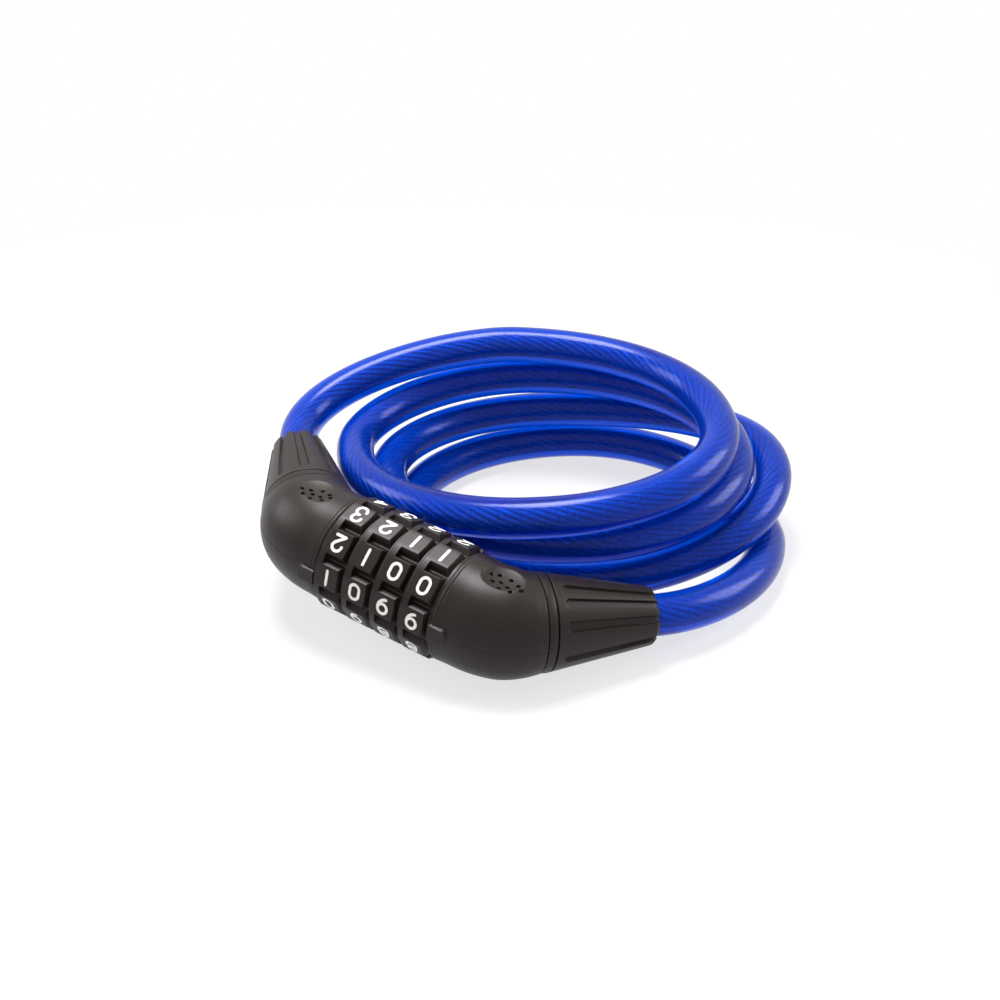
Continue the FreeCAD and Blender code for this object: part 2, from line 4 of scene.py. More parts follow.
import bpy
import numpy as np
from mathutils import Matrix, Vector

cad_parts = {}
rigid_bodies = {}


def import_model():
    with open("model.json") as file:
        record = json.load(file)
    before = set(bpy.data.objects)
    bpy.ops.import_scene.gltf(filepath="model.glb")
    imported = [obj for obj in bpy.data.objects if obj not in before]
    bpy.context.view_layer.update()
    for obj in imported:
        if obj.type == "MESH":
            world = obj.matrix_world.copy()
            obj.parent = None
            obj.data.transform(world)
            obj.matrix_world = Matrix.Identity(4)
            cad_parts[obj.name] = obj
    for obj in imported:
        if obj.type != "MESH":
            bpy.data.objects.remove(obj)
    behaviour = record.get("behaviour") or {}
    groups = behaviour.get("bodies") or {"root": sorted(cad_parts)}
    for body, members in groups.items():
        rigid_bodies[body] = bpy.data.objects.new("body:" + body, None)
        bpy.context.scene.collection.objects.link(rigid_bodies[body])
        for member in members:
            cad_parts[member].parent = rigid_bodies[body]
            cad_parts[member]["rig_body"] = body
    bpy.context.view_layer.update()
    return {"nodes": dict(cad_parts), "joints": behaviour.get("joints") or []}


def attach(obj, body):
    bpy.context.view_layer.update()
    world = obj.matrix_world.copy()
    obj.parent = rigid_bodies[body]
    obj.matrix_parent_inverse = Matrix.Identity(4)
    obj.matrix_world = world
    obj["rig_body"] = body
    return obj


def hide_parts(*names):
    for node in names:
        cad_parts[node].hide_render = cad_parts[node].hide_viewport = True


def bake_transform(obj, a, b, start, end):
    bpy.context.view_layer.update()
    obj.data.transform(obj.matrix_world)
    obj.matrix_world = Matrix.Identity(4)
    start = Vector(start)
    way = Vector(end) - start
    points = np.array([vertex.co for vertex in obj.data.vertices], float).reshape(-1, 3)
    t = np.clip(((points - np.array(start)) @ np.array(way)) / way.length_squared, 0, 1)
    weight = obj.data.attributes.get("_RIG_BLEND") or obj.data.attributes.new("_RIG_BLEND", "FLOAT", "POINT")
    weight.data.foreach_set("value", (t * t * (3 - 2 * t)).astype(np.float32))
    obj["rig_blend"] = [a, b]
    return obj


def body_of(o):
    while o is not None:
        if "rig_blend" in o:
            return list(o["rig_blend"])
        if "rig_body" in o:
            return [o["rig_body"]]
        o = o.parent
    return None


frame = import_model()
print("frame loaded")

mm = 0.001
upward = np.array([0.0, 0.0, 1.0])
fineSteps = 6000  # how finely gathered() measures its spacing
sharpEdge = 42.0  # degrees: a sharper edge than this on the head's pieces isn't smoothed over

# The head's own directions come from the first dial's joint: X along the dials, Y away, Z square to both
dialJoint = next(joint for joint in frame["joints"] if joint["name"] == "dial_1_turn")
headMiddle = np.array(dialJoint["pos_m"])
headX = np.array(dialJoint["axis"])
headY = np.array([0.0, 1.0, 0.0])
headZ = np.cross(headX, headY)


# Millimetres in the head's own directions to metres in the frame: its middle, plus each along its direction
def fromHead(points):
    points = np.asarray(points, dtype=float)
    along, aside, up = points[..., :1], points[..., 1:2], points[..., 2:3]
    return headMiddle + mm * (along * headX + aside * headY + up * headZ)


# Nought to one with level ends: three squares less two cubes
def smoothStep(value):
    value = np.clip(value, 0.0, 1.0)
    return value * value * (3.0 - 2.0 * value)


# The smaller of two heights. Across the width, where they are nearly alike, it is a mix of both, less the
# width times both shares of the mix, which rounds the corner
def softMin(first, second, width):
    share = np.clip(0.5 + 0.5 * (second - first) / width, 0.0, 1.0)
    return second * (1.0 - share) + first * share - width * share * (1.0 - share)


# The larger of two heights, rounded alike: the smaller one, upside down
def softMax(first, second, width):
    return -softMin(-first, -second, width)


# A smooth line through a few values: a cubic between each two, whose slopes are taken from the neighbours
def smoothCurve(at, places, values):
    places, values = np.asarray(places, dtype=float), np.asarray(values, dtype=float)
    slopes = np.gradient(values, places)
    piece = np.clip(np.searchsorted(places, at, side="right") - 1, 0, len(places) - 2)
    width = places[piece + 1] - places[piece]
    t = (at - places[piece]) / width
    return ((2 * t ** 3 - 3 * t ** 2 + 1) * values[piece] + (t ** 3 - 2 * t ** 2 + t) * width * slopes[piece]
            + (3 * t ** 2 - 2 * t ** 3) * values[piece + 1] + (t ** 3 - t ** 2) * width * slopes[piece + 1])


# Steps from start to end, closer together near some places. Their density is one, plus the gain times a bell
# curve of this width at each place, and the steps share out its running total evenly
def gathered(start, end, near, count, gain, width):
    fine = np.linspace(start, end, fineSteps + 1)
    middle = 0.5 * (fine[1:] + fine[:-1])
    away = (middle[:, None] - np.asarray(near, dtype=float)[None]) / width
    density = 1.0 + gain * np.exp(-away ** 2).sum(axis=1)
    total = np.concatenate([[0.0], np.cumsum(density)])
    return np.interp(np.linspace(0.0, total[-1], count), total, fine)


# A mesh from a list of arrays of faces, with 3 or 4 corners each. Its volume goes with the sum of its
# triangles' triple products, and where that is below nought every face is turned round, to point outwards
def meshObject(name, points, faces, material, sharpAngle, materialIndex=None):
    tris = np.concatenate([face if face.shape[1] == 3 else np.concatenate([face[:, :3], face[:, [0, 2, 3]]])
                           for face in faces])
    a, b, c = points[tris[:, 0]], points[tris[:, 1]], points[tris[:, 2]]
    if np.einsum("ij,ij->i", a, np.cross(b, c)).sum() < 0:
        faces = [face[:, ::-1] for face in faces]
    mesh = bpy.data.meshes.new(name)
    mesh.vertices.add(len(points))
    mesh.vertices.foreach_set("co", points.astype(np.float32).ravel())
    corners = np.concatenate([face.ravel() for face in faces])
    sizes = np.concatenate([np.full(len(face), face.shape[1]) for face in faces])
    starts = np.concatenate([[0], np.cumsum(sizes)[:-1]])
    mesh.loops.add(len(corners))
    mesh.loops.foreach_set("vertex_index", corners.astype(np.int32))
    mesh.polygons.add(len(sizes))
    mesh.polygons.foreach_set("loop_start", starts.astype(np.int32))
    mesh.polygons.foreach_set("use_smooth", np.ones(len(sizes), dtype=bool))
    if materialIndex is not None:
        mesh.polygons.foreach_set("material_index", materialIndex)
    mesh.update(calc_edges=True)
    mesh.set_sharp_from_angle(angle=math.radians(sharpAngle))
    piece = bpy.data.objects.new(name, mesh)
    bpy.context.scene.collection.objects.link(piece)
    mesh.materials.append(material)
    return piece


# Quads of a grid whose columns close round, and whose rows close too where asked
def gridFaces(rows, columns, closeRows=False):
    index = np.arange(rows * columns).reshape(rows, columns)
    here = index if closeRows else index[:-1]
    ahead = np.roll(index, -1, axis=0) if closeRows else index[1:]
    quads = np.stack([here, np.roll(here, -1, axis=1), np.roll(ahead, -1, axis=1), ahead], axis=-1)
    return quads.reshape(-1, 4)


# A grid surface closed round, with a fan at each end, on the mean of the end's points
def cappedGrid(name, grid, **options):
    rows, columns = grid.shape[:2]
    middles = np.stack([grid[0].mean(axis=0), grid[-1].mean(axis=0)])
    points = np.concatenate([grid.reshape(-1, 3), middles])
    ring = np.arange(columns)
    fans = []
    for row, middle in ((0, rows * columns), (rows - 1, rows * columns + 1)):
        near = row * columns + ring
        far = np.roll(near, -1)
        fan = np.stack([near, far, np.full(columns, middle)], axis=-1)
        fans.append(fan[:, ::-1] if row == 0 else fan)
    return meshObject(name, points, [gridFaces(rows, columns), *fans], **options)


# A grid surface closed both ways, as round a ring with a bore
def ringGrid(name, grid, **options):
    rows, columns = grid.shape[:2]
    return meshObject(name, grid.reshape(-1, 3), [gridFaces(rows, columns, closeRows=True)], **options)


# The piece takes a node's place, on the same body
def standFor(piece, node):
    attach(piece, body_of(frame["nodes"][node])[0])
    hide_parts(node)


# Materials. Patches, grains, ripples and depths are in millimetres

# An sRGB hex value as Blender's linear colour: over 12.92 near black, and otherwise a power of 2.4
def hexColour(text):
    parts = [int(text[place:place + 2], 16) / 255 for place in (1, 3, 5)]
    return [part / 12.92 if part <= 0.04045 else ((part + 0.055) / 1.055) ** 2.4 for part in parts] + [1.0]


def addNode(tree, kind, links=None, values=None, **settings):
    node = tree.nodes.new(kind)
    for key, value in settings.items():
        setattr(node, key, value)
    for key, value in (values or {}).items():
        node.inputs[key].default_value = value
    for key, source in (links or {}).items():
        tree.links.new(source, node.inputs[key])
    return node


# A material with its node tree and shader; a socket's name has _ for each space
def newMaterial(name, **sockets):
    material = bpy.data.materials.new(name)
    material.use_nodes = True
    shader = material.node_tree.nodes["Principled BSDF"]
    for key, value in sockets.items():
        shader.inputs[key.replace("_", " ")].default_value = value
    return material, material.node_tree, shader


# Noise scale for spots of this size, on Object coordinates: one over the size in metres
def scaleFor(size):
    return 1.0 / (size * mm)


# Base colour that wanders between a look's two tones, over its patches
def tinted(tree, shader, place, look):
    tone = addNode(tree, "ShaderNodeTexNoise", {"Vector": place},
                   {"Scale": scaleFor(look["patch"]), "Detail": look["detail"]})
    tint = addNode(tree, "ShaderNodeMix", {"Factor": tone.outputs["Fac"]}, data_type="RGBA")
    tint.inputs["A"].default_value = hexColour(look["dark"])
    tint.inputs["B"].default_value = hexColour(look["light"])
    tree.links.new(tint.outputs["Result"], shader.inputs["Base Color"])
    return tone


blackAbs = {"light": "#201613", "dark": "#150d0b", "patch": 7.0, "detail": 3.0,
            "roughness": 0.4, "ior": 1.52, "level": 0.24,
            "grain": 0.28, "grainDetail": 2.0, "grainRoughness": 0.6, "bump": 0.34, "depth": 0.1}


# ABS, injection moulded in a spark-eroded tool: a fine even grain spreads the light over its warm black
def mouldedAbs(name, look):
    material, tree, shader = newMaterial(name, Roughness=look["roughness"], IOR=look["ior"],
                                         Specular_IOR_Level=look["level"])
    place = addNode(tree, "ShaderNodeTexCoord").outputs["Object"]
    grain = addNode(tree, "ShaderNodeTexNoise", {"Vector": place},
                    {"Scale": scaleFor(look["grain"]), "Detail": look["grainDetail"],
                     "Roughness": look["grainRoughness"]})
    bump = addNode(tree, "ShaderNodeBump", {"Height": grain.outputs["Fac"]},
                   {"Strength": look["bump"], "Distance": look["depth"] * mm})
    tree.links.new(bump.outputs["Normal"], shader.inputs["Normal"])
    tinted(tree, shader, place, look)
    return material


pvc = {"colour": "#0048d0", "glint": "#c0c2ff", "roughness": 0.2, "ior": 1.34, "clear": 0.86,
       "ripple": 6.0, "rippleDetail": 2.0, "bump": 0.05, "depth": 0.5}


# Plasticised PVC, extruded over the rope: it colours what passes through, scatters a little of it, and has
# faint ripples. Its IOR is under the usual 1.53, matched to how the rope shows through
def bluePvc():
    material, tree, shader = newMaterial("extrudedBluePvc", Roughness=pvc["roughness"], IOR=pvc["ior"],
                                         Transmission_Weight=pvc["clear"])
    shader.inputs["Specular Tint"].default_value = hexColour(pvc["glint"])
    shader.inputs["Base Color"].default_value = hexColour(pvc["colour"])
    place = addNode(tree, "ShaderNodeTexCoord").outputs["Object"]
    ripple = addNode(tree, "ShaderNodeTexNoise", {"Vector": place},
                     {"Scale": scaleFor(pvc["ripple"]), "Detail": pvc["rippleDetail"]})
    bump = addNode(tree, "ShaderNodeBump", {"Height": ripple.outputs["Fac"]},
                   {"Strength": pvc["bump"], "Distance": pvc["depth"] * mm})
    tree.links.new(bump.outputs["Normal"], shader.inputs["Normal"])
    return material


# Nothing at all: where the tail and the coil meet inside one unbroken jacket
def clearJoin():
    material = bpy.data.materials.new("clearJoin")
    material.use_nodes = True
    tree = material.node_tree
    tree.nodes.remove(tree.nodes["Principled BSDF"])
    clear = addNode(tree, "ShaderNodeBsdfTransparent")
    tree.links.new(clear.outputs["BSDF"], tree.nodes["Material Output"].inputs["Surface"])
    return material


wire = {"light": "#d4dcee", "dark": "#626b7e", "patch": 0.8, "detail": 3.0, "metallic": 0.6, "roughness": 0.5}


# Steel wire, drawn and then covered in PVC: dull, as the plastic wets it, and mottled light and dark
def twistedWire():
    material, tree, shader = newMaterial("drawnSteelWire", Metallic=wire["metallic"],
                                         Roughness=wire["roughness"])
    place = addNode(tree, "ShaderNodeTexCoord").outputs["Object"]
    tinted(tree, shader, place, wire)
    return material


# Die-cast zinc is dull and cloudy, zinc-plated steel brighter and more even, pressed aluminium pale and satin
metals = {
    "dieCastZinc": {"light": "#a9abb0", "dark": "#85878c", "roughness": 0.45, "patch": 1.2},
    "zincPlatedSteel": {"light": "#c4c6ca", "dark": "#9a9ca2", "roughness": 0.3, "patch": 0.6},
    "crimpedAluminium": {"light": "#d0d1d4", "dark": "#a8aaae", "roughness": 0.38, "patch": 0.9},
}
metalSkin = {"detail": 4.0, "bump": 0.15, "depth": 0.05}


# Metal inside the head, machined, cast or pressed: a fine uneven tone that is also its bump
def plainMetal(name):
    look = metals[name] | metalSkin
    material, tree, shader = newMaterial(name, Metallic=1.0, Roughness=look["roughness"])
    place = addNode(tree, "ShaderNodeTexCoord").outputs["Object"]
    tone = tinted(tree, shader, place, look)
    bump = addNode(tree, "ShaderNodeBump", {"Height": tone.outputs["Fac"]},
                   {"Strength": look["bump"], "Distance": look["depth"] * mm})
    tree.links.new(bump.outputs["Normal"], shader.inputs["Normal"])
    return material


ink = {"light": "#f4f2ee", "dark": "#dedbd6", "patch": 0.5, "detail": 3.0, "roughness": 0.55}


# White ink, pad printed: a matt film, very slightly uneven
def printedWhite():
    material, tree, shader = newMaterial("printedWhiteInk", Roughness=ink["roughness"])
    place = addNode(tree, "ShaderNodeTexCoord").outputs["Object"]
    tinted(tree, shader, place, ink)
    return material


shellAbs = mouldedAbs("mouldedShellAbs", blackAbs)
# The dials' tool is smoother, so their grain is finer and shallower
dialAbs = mouldedAbs("mouldedDialAbs", blackAbs | {"grain": 0.22, "bump": 0.14})
jacketPvc = bluePvc()
seamClear = clearJoin()
ropeSteel = twistedWire()
whiteInk = printedWhite()
castZinc, platedSteel, crimpedAluminium = (plainMetal(name) for name in metals)
print("materials made")


# The head's bent centre line, from the dial block's face, in millimetres; bend is in degrees

head = {"blockHalf": 19.0, "bend": 45.5, "bendRadius": 17.0, "bendStart": 5.6, "straight": 2.9,
        "collarWidth": 3.0, "sleeveLength": 31.0, "faceGap": 0.35}
bendAngle = math.radians(head["bend"])
shellLength = head["bendStart"] + head["bendRadius"] * bendAngle + head["straight"]
sleeveStart = shellLength + head["collarWidth"]
mouthDistance = sleeveStart + head["sleeveLength"]


# Places and headings: straight, then an arc, then straight. Along is the start, the radius times the turn's
# sine, and the rest times its cosine. Aside is the radius times one less the cosine, and the rest times the
# sine
def centreLine(distance):
    distance = np.asarray(distance, dtype=float)
    turn = np.clip((distance - head["bendStart"]) / head["bendRadius"], 0.0, bendAngle)
    before = np.minimum(distance, head["bendStart"])
    rest = np.maximum(distance - head["bendStart"] - head["bendRadius"] * bendAngle, 0.0)
    along = head["blockHalf"] + before + head["bendRadius"] * np.sin(turn) + rest * np.cos(turn)
    aside = head["bendRadius"] * (1.0 - np.cos(turn)) + rest * np.sin(turn)
    return along, aside, turn


# Points round the bent centre line, at an angle up from the front: the radius times its cosine goes out to
# the front, square to the line, and the radius times its sine goes up
def bentRing(distance, radius, up):
    along, aside, turn = centreLine(distance)
    out = radius * np.cos(up)
    return np.stack([along + out * np.sin(turn), aside - out * np.cos(turn), radius * np.sin(up)], axis=-1)


# The same round the dial axis, for what is bored straight into the dial block's face
def faceRing(distance, radius, up):
    along = np.full_like(up, head["blockHalf"] + distance)
    return np.stack([along, -radius * np.cos(up), radius * np.sin(up)], axis=-1)


# The same round the straight line past the bend, also carried back before the bend's end
def endRing(distance, radius, up):
    along, aside, turn = (float(value) for value in centreLine(shellLength))
    ahead = distance - shellLength
    out = radius * np.cos(up)
    return np.stack([along + ahead * math.cos(turn) + out * math.sin(turn),
                     aside + ahead * math.sin(turn) - out * math.cos(turn), radius * np.sin(up)], axis=-1)


sideNames = {1: "barrel_end", -1: "plug_end"}


# The barrel's side as it is, or mirrored for the plug's, which stands off the dials by a gap
def onSide(points, side):
    if side > 0:
        return fromHead(points)
    return fromHead(points * [-1.0, 1.0, 1.0] - [head["faceGap"], 0.0, 0.0])


# Dials: ten flats with the numbers, and grooves between them that start behind the left rim

dial = {
    "count": 4, "pitch": 9.5, "gap": 0.35, "bore": 11.25,
    "flats": 10, "flatRadius": 16.7, "indexAngle": 8.0,
    "rimRadius": 17.0, "rimWidth": 2.0, "rimBevel": 0.3,
    "slope": 0.9, "collarRadius": 15.2, "collarWidth": 0.85,
    "bodyRadius": 15.0, "grooveFloor": 0.5, "grooveMouth": 3.6, "grooveEnd": 0.16, "edge": 0.16,
    # Rows gather at the section's corners, and a flat's columns at these degrees from a groove's middle
    "rows": {"count": 84, "gain": 9.0, "width": 0.16},
    "columns": {"count": 41, "gain": 4.0, "width": 0.8}, "columnsNear": [-6.2, -2.1, 2.1, 6.2],
}
dialWidth = dial["pitch"] - dial["gap"]


# Radius over place along the dial and angle. The ring's section and the flats (their radius over the cosine
# of the angle from a flat's middle) are cut by grooves, each with a floor at the body's radius and walls that
# lean out by the same share all the way up
def dialPiece(number):
    collarStart = dialWidth - dial["collarWidth"]
    slopeStart = collarStart - dial["slope"]
    corners = [0.0, dial["rimBevel"], dial["rimWidth"], slopeStart, collarStart, dialWidth]
    along = gathered(0.0, dialWidth, corners, **dial["rows"])
    step = 360.0 / dial["flats"]
    within = gathered(-step / 2, step / 2, dial["columnsNear"], **dial["columns"])[:-1]
    starts = dial["indexAngle"] + step * (np.arange(dial["flats"]) + 0.5)
    up = np.radians((starts[:, None] + within[None]).ravel())
    fromGroove = np.radians(np.abs(np.tile(within, dial["flats"])))
    fromFlat = np.radians(step / 2) - fromGroove
    ring = np.interp(along, [0.0, dial["rimBevel"], slopeStart, collarStart, dialWidth],
                     [dial["rimRadius"] - dial["rimBevel"], dial["rimRadius"], dial["rimRadius"],
                      dial["collarRadius"], dial["collarRadius"]])
    flat = dial["flatRadius"] / np.cos(fromFlat)
    outer = softMin(ring[:, None], flat[None], dial["edge"])
    lean = (dial["grooveMouth"] - dial["grooveFloor"]) / 2 / (dial["rimRadius"] - dial["bodyRadius"])
    wall = ((dial["grooveFloor"] / 2 - lean * dial["bodyRadius"])
            / (np.sin(fromGroove) - lean * np.cos(fromGroove)))
    groove = softMax(dial["bodyRadius"] / np.cos(fromGroove), wall, dial["edge"])
    inside = smoothStep((along - dial["rimWidth"]) / dial["grooveEnd"])
    inside = inside * smoothStep((collarStart - along) / dial["grooveEnd"])
    cut = softMin(outer, groove[None], dial["edge"])
    radius = outer + (cut - outer) * inside[:, None]
    bore = np.full((1, len(up)), dial["bore"])
    radius = np.concatenate([bore, radius, bore])
    left = (number - (dial["count"] - 1) / 2) * dial["pitch"] - dialWidth / 2
    places = np.concatenate([[0.0], along, [dialWidth]]) + left
    places = np.broadcast_to(places[:, None], radius.shape)
    grid = np.stack([places, -radius * np.cos(up), radius * np.sin(up)], axis=-1)
    piece = ringGrid(f"dialRing{number + 1}", fromHead(grid), sharpAngle=sharpEdge, material=dialAbs)
    standFor(piece, f"dial_{number + 1}")


for number in range(dial["count"]):
    dialPiece(number)
print("dials done")


# End shells: bulbs with a hollow of small pits on top, a raised tongue in front and a mould's parting line

shell = {
    # Share of the length along the centre line, and the radius there
    "profile": [(0.0, 16.14), (0.03, 16.1), (0.2, 15.85), (0.43, 15.75), (0.66, 15.6), (0.88, 14.65),
                (1.0, 14.15)],
    "faceRadius": 15.7, "faceRounding": 0.7, "endRounding": 0.4,
    "lipPlace": 1.35, "lipWidth": 0.13, "lipDepth": 0.14,
    "partingHeight": 1.6, "partingStart": 5.9, "partingWidth": 0.14, "partingDepth": 0.11,
    # The hollow and the pits are only cut where the surface is higher than this share of its radius
    "topShare": 0.4,
    "hollowPlace": 12.7, "hollowLength": 14.2, "hollowWidth": 13.6, "hollowDome": 1.6, "hollowDepth": 1.2,
    "hollowEdge": 0.22,
    "pitRadius": 0.66, "pitWall": 0.24, "pitDepth": 0.9,
    # Each pit's place along the centre line and its angle up from the front
    "pits": {1: [(8, 91), (10.25, 94), (9.25, 82), (11.25, 84), (13.75, 90), (11.25, 74), (13, 78),
                 (15.5, 81), (13.75, 71), (16, 74)],
             -1: [(14.75, 74), (13.5, 82), (11.75, 92), (13, 71), (11.75, 80), (9.75, 84), (8.75, 93),
                  (7.25, 89), (10.5, 73), (8.25, 80)]},
    "tongueLength": 5.8, "tongueWidth": 5.0, "tongueStand": 0.7, "tongueCorner": 1.8, "tongueEdge": 0.42,
    # The tongue's middle, up from the front, and how far from it columns gather, at the tongue's edges
    "tongueAngle": {1: 4.5, -1: -1.0}, "tongueHalfAngle": 9.1,
    # The tongue is only blended in where the cosine of the angle from its middle is over this
    "tongueFacing": 0.5,
    "spigotHole": 9.05, "spigotDepth": 3.55,
    # Bores in the dial side's face, from the bottom out: depth and radius
    "bores": {1: [(11.05, 7.55), (0.0, 7.55)], -1: [(11.7, 3.6), (1.8, 3.6), (1.8, 9.5), (0.0, 9.5)]},
    # Rows also gather at the lip, the tongue's end, both rims and the pits; columns at the parting line and
    # the pits
    "rows": {"count": 142, "gain": 1.6, "width": 0.9}, "rowsNear": [0.2, 1.35, 5.8, 21.8, 10.0, 14.0],
    "columns": {"count": 331, "gain": 4.0, "width": 7.0}, "columnsNear": [6.0, 70.0, 84.0, 98.0],
}


def shellRadius(distance):
    places, values = zip(*shell["profile"])
    return smoothCurve(distance / shellLength, places, values)


# The bulb: its profile, less the face's rounding (a square root's rise), the lip's groove and the parting
# line (bell curves), and the end's rounding (a quarter circle)
def bulbRadius(distance, up, plain):
    rise = np.sqrt(np.clip(distance / shell["faceRounding"], 0.0, 1.0))
    radius = np.minimum(plain, shell["faceRadius"] + (plain - shell["faceRadius"]) * rise)
    radius = radius - shell["lipDepth"] * np.exp(-((distance - shell["lipPlace"]) / shell["lipWidth"]) ** 2)
    rounding = shell["endRounding"]
    past = np.clip(distance - (shellLength - rounding), 0.0, rounding)
    radius = radius - rounding + np.sqrt(rounding ** 2 - past ** 2)
    height = radius * np.sin(up) - shell["partingHeight"]
    line = np.exp(-(height / shell["partingWidth"]) ** 2) * smoothStep(distance - shell["partingStart"])
    return radius - shell["partingDepth"] * line


# Distance outside a rectangle with rounded far corners, below nought inside it
def fromTongue(distance, across):
    corner = shell["tongueCorner"]
    ahead = distance - (shell["tongueLength"] - corner)
    beside = np.abs(across) - (shell["tongueWidth"] / 2 - corner)
    outside = np.hypot(np.maximum(ahead, 0.0), np.maximum(beside, 0.0))
    return np.minimum(np.maximum(ahead, beside), 0.0) + outside - corner


# The tongue's flat top, inside its outline: one height over the cosine of the angle from its middle
def withTongue(side, distance, up, plain, radius):
    lean = up - math.radians(shell["tongueAngle"][side])
    facing = np.cos(lean) > shell["tongueFacing"]
    height = shellRadius(shell["tongueLength"] / 2) + shell["tongueStand"]
    top = height / np.maximum(np.cos(lean), shell["tongueFacing"])
    share = smoothStep(-fromTongue(distance, plain * np.sin(lean)) / shell["tongueEdge"]) * facing
    return radius + (top - radius) * share


# Cut from above, so only heights change: the hollow is an ellipsoid's underside, and a pit is a round drop
def cutFromAbove(side, points, plain):
    x, y, z = points[..., 0], points[..., 1], points[..., 2]
    onTop = z > shell["topShare"] * plain
    away = (((x - head["blockHalf"] - shell["hollowPlace"]) / (shell["hollowLength"] / 2)) ** 2
            + (y / (shell["hollowWidth"] / 2)) ** 2)
    rim = shellRadius(shell["hollowPlace"]) + shell["hollowDome"] - shell["hollowDepth"]
    hollow = rim - shell["hollowDome"] * np.sqrt(np.clip(1.0 - away, 0.0, 1.0))
    z = np.where(onTop & (away < 1.0), softMin(z, hollow, shell["hollowEdge"]), z)
    for place, pitUp in shell["pits"][side]:
        centre = bentRing(place, float(shellRadius(place)), math.radians(pitUp))
        gap = np.hypot(x - centre[0], y - centre[1])
        z = z - onTop * shell["pitDepth"] * smoothStep((shell["pitRadius"] - gap) / shell["pitWall"])
    return np.stack([x, y, z], axis=-1)


# Radius over distance and angle, with the bores before it and the spigot's hole after it
def shellPiece(side):
    edges = [shell["tongueAngle"][side] + way * shell["tongueHalfAngle"] for way in (-1, 1)]
    distance = gathered(0.0, shellLength, shell["rowsNear"], **shell["rows"])
    angle = gathered(-180.0, 180.0, [*edges, *shell["columnsNear"]], **shell["columns"])[:-1]
    distance, up = np.meshgrid(distance, np.radians(angle), indexing="ij")
    plain = shellRadius(distance)
    radius = withTongue(side, distance, up, plain, bulbRadius(distance, up, plain))
    outer = cutFromAbove(side, bentRing(distance, radius, up), plain)
    around = up[0]
    bores = [faceRing(depth, bore, around) for depth, bore in shell["bores"][side]]
    hole = [endRing(shellLength - depth, shell["spigotHole"], around)
            for depth in (0.0, shell["spigotDepth"])]
    grid = np.concatenate([np.stack(bores), outer, np.stack(hole)])
    piece = cappedGrid(f"{sideNames[side]}Bulb", onSide(grid, side), sharpAngle=sharpEdge, material=shellAbs)
    standFor(piece, f"{sideNames[side]}_shell")


# Collars. Each pair is a place along the centre line, from the collar's start, and a radius

collar = {"section": [(0.0, 9.05), (0.0, 13.35), (0.1, 13.7), (0.3, 13.95), (2.4, 13.95), (2.62, 13.8),
                      (2.7, 13.5), (2.7, 12.7), (3.0, 12.7), (3.0, 9.05)],
          "columns": 180}


def collarPiece(side):
    angle = np.linspace(-math.pi, math.pi, collar["columns"], endpoint=False)
    grid = np.stack([endRing(shellLength + place, radius, angle) for place, radius in collar["section"]])
    piece = ringGrid(f"{sideNames[side]}Band", onSide(grid, side), sharpAngle=sharpEdge, material=shellAbs)
    standFor(piece, f"{sideNames[side]}_collar")


# Sleeves: tapered and fluted, with a spigot at the root and the cable's bore

sleeve = {
    "rootRadius": 13.8, "mouthRadius": 8.2, "rootRounding": 0.3, "bevel": 0.7, "bevelRounding": 0.2,
    "lip": 6.5, "lipBevel": 0.4, "bore": 6.1, "insert": 14.1, "pocket": 4.4,
    "spigotRadius": 9.0, "spigotLength": 3.5, "faceRadius": 12.7,
    # Middle of each flute, up from the front
    "flutes": {1: [82, 61, 32.5, -11, -55, -100, -145, 127], -1: [14.5, 53, 84, 122, 163, -152, -95, -38]},
    "fluteStart": 4.0, "fluteDepth": 0.85, "fluteWall": 0.3,
    "fluteHalf": (1.6, 1.15),  # half its width, at the root and at the mouth
    # Rows gather at the root, the flutes' starts and the mouth; columns fluteEdge degrees from each middle
    "rows": {"count": 96, "gain": 3.0, "width": 0.9}, "rowsNear": [0.2, 2.6, 4.0],
    "columns": {"count": 421, "gain": 5.0, "width": 1.1}, "fluteEdge": 7.6,
}


